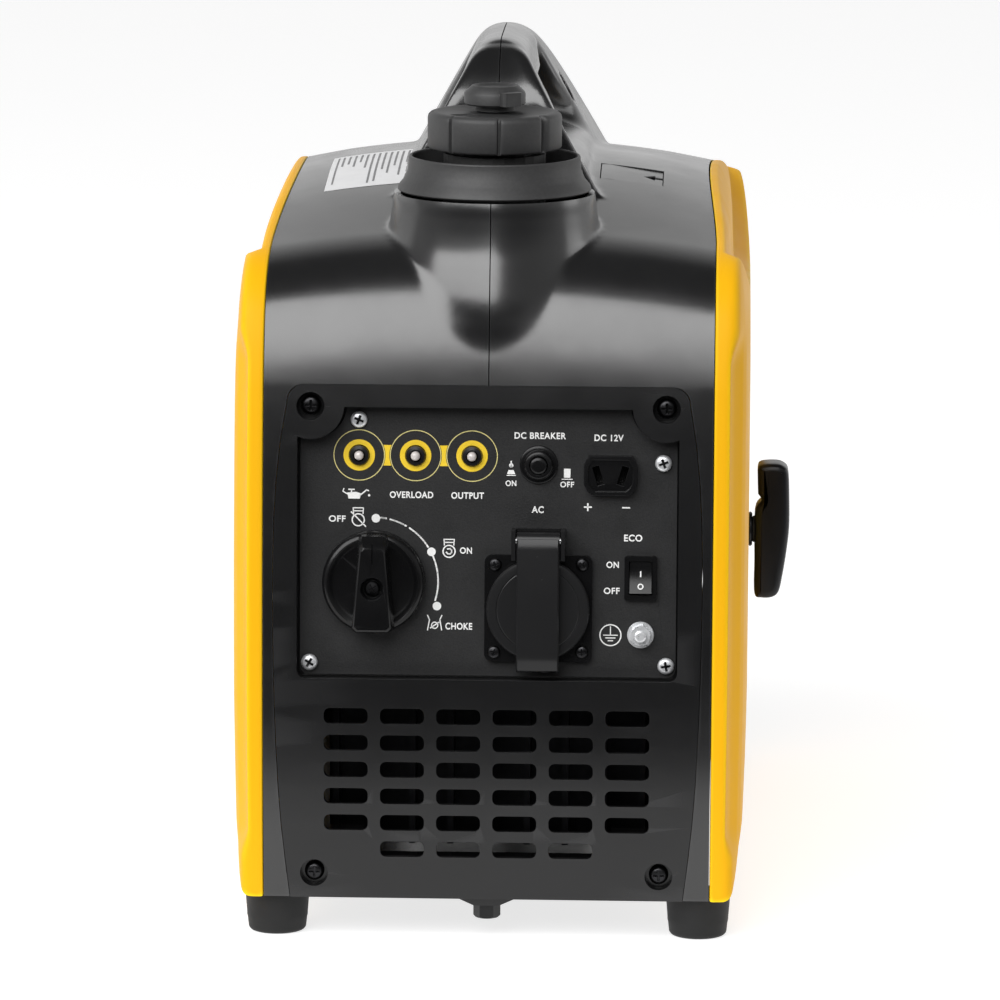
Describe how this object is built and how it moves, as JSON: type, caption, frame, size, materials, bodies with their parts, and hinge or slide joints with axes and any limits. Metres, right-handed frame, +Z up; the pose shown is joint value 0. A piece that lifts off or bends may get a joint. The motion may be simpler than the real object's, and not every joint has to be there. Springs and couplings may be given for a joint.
{
  "type": "portable generator",
  "caption": "Portable suitcase inverter generator: black shells with an integral handle, yellow side covers, control panel with knob, sockets and lamps, filler cap and recoil starter.",
  "frame": {"origin": "centre of the bounding box on the floor, under the middle of the feet", "axes": "+Z up, +Y from the control panel to the exhaust end along the length, +X to the recoil starter side"},
  "size_m": [0.262, 0.4533, 0.4085],
  "materials": {
    "casing_black": "semi-gloss moulded",
    "cover_yellow": "semi-gloss moulded",
    "panel_grey": "fine texture",
    "control_black": "satin",
    "rubber_black": "matte",
    "cap_grey": "matte",
    "zinc_steel": "zinc plated",
    "black_steel": "black oxide",
    "cast_aluminium": "sand cast",
    "machined_steel": "machined",
    "exhaust_steel": "heat stained",
    "copper_winding": "lacquered",
    "ceramic_white": "glazed",
    "tank_black": "blow moulded",
    "lamp_lens": "clear lens in a black holder",
    "rope_black": "braided",
    "print_white": "printed ink and label"
  },
  "bodies": {
    "root": {"shell_left": "casing_black", "shell_right": "casing_black", "handle_left": "casing_black", "handle_right": "casing_black", "front_cover": "casing_black", "rear_cover": "casing_black", "base_tray": "casing_black", "side_cover_left": "cover_yellow", "side_cover_right": "cover_yellow", "control_plate": "panel_grey", "foot_front_left": "rubber_black", "foot_front_right": "rubber_black", "foot_rear_left": "rubber_black", "foot_rear_right": "rubber_black", "spill_collar": "rubber_black", "fuel_tank": "tank_black", "filler_tube": "tank_black", "breaker_body": "control_black", "dc_socket": "control_black", "ac_socket": "control_black", "lid_pin": "machined_steel", "rocker_bezel": "control_black", "ground_terminal": "zinc_steel", "rope_guide": "control_black", "recoil_housing": "black_steel", "stator": "copper_winding", "crankcase": "cast_aluminium", "cylinder": "cast_aluminium", "cylinder_head": "cast_aluminium", "spark_plug": "ceramic_white", "oil_filler": "control_black", "carburettor": "cast_aluminium", "air_filter_box": "control_black", "muffler": "exhaust_steel", "inverter_module": "cast_aluminium", "drain_plug": "control_black", "lamp_1": "lamp_lens", "lamp_2": "lamp_lens", "lamp_3": "lamp_lens", "plate_screw_1": "zinc_steel", "cover_screw_1": "black_steel", "plate_screw_2": "zinc_steel", "cover_screw_2": "black_steel", "plate_screw_3": "zinc_steel", "cover_screw_3": "black_steel", "plate_screw_4": "zinc_steel", "cover_screw_4": "black_steel"},
    "cap_insert": {"cap_insert": "control_black"},
    "fuel_cap": {"fuel_cap": "cap_grey"},
    "vent_knob": {"vent_knob": "cap_grey"},
    "engine_knob": {"engine_knob": "control_black"},
    "breaker_button": {"breaker_button": "control_black"},
    "ac_lid": {"ac_lid": "control_black"},
    "rocker": {"rocker": "control_black"},
    "recoil_grip": {"recoil_grip": "rubber_black", "starter_rope": "rope_black"},
    "recoil_reel": {"recoil_reel": "control_black"},
    "crankshaft": {"crankshaft": "machined_steel", "flywheel_fan": "cast_aluminium"},
    "service_lid": {"service_lid": "casing_black"}
  },
  "joints": [
    {"name": "cap_lift", "type": "slide", "parent": "root", "child": "cap_insert", "axis": [0, 0, 1], "range_m": [0, 0.06]},
    {"name": "cap_turn", "type": "hinge", "parent": "cap_insert", "child": "fuel_cap", "pos_m": [-0.01, -0.1457, 0.3825], "axis": [0, 0, 1], "range_deg": [0, 120]},
    {"name": "vent_turn", "type": "hinge", "parent": "fuel_cap", "child": "vent_knob", "pos_m": [-0.01, -0.1457, 0.3828], "axis": [0, 0, 1], "range_deg": [0, 90]},
    {"name": "engine_knob_turn", "type": "hinge", "parent": "root", "child": "engine_knob", "pos_m": [-0.063, -0.20603, 0.16942], "axis": [0, 0.9981, -0.061], "range_deg": [0, 108]},
    {"name": "breaker_trip", "type": "slide", "parent": "root", "child": "breaker_button", "axis": [0, -0.9981, 0.061], "range_m": [0, 0.004]},
    {"name": "ac_lid_open", "type": "hinge", "parent": "root", "child": "ac_lid", "pos_m": [0.0135, -0.21326, 0.19051], "axis": [-1, 0, 0], "range_deg": [0, 120], "stiffness_Nm_per_rad": 0.02, "springref_deg": -34.38},
    {"name": "rocker_tilt", "type": "hinge", "parent": "root", "child": "rocker", "pos_m": [0.0609, -0.20586, 0.17222], "axis": [1, 0, 0], "range_deg": [0, 20]},
    {"name": "recoil_pull", "type": "slide", "parent": "root", "child": "recoil_grip", "axis": [1, 0, 0], "range_m": [0, 0.5], "stiffness_N_per_m": 20, "springref_m": -0.2, "deforming": ["starter_rope"]},
    {"name": "reel_turn", "type": "hinge", "parent": "root", "child": "recoil_reel", "pos_m": [-0.01, -0.0397, 0.11], "axis": [0, 1, 0], "range_deg": [0, 515]},
    {"name": "crankshaft_spin", "type": "hinge", "parent": "root", "child": "crankshaft", "pos_m": [-0.01, 0.0043, 0.11], "axis": [0, 1, 0], "continuous": true},
    {"name": "service_lid_lift", "type": "slide", "parent": "root", "child": "service_lid", "axis": [0, 0, 1], "range_m": [0, 0.03]}
  ],
  "couplings": [
    {"joint": "reel_turn", "follows": "recoil_pull", "rad_per_m": 17.857}
  ]
}
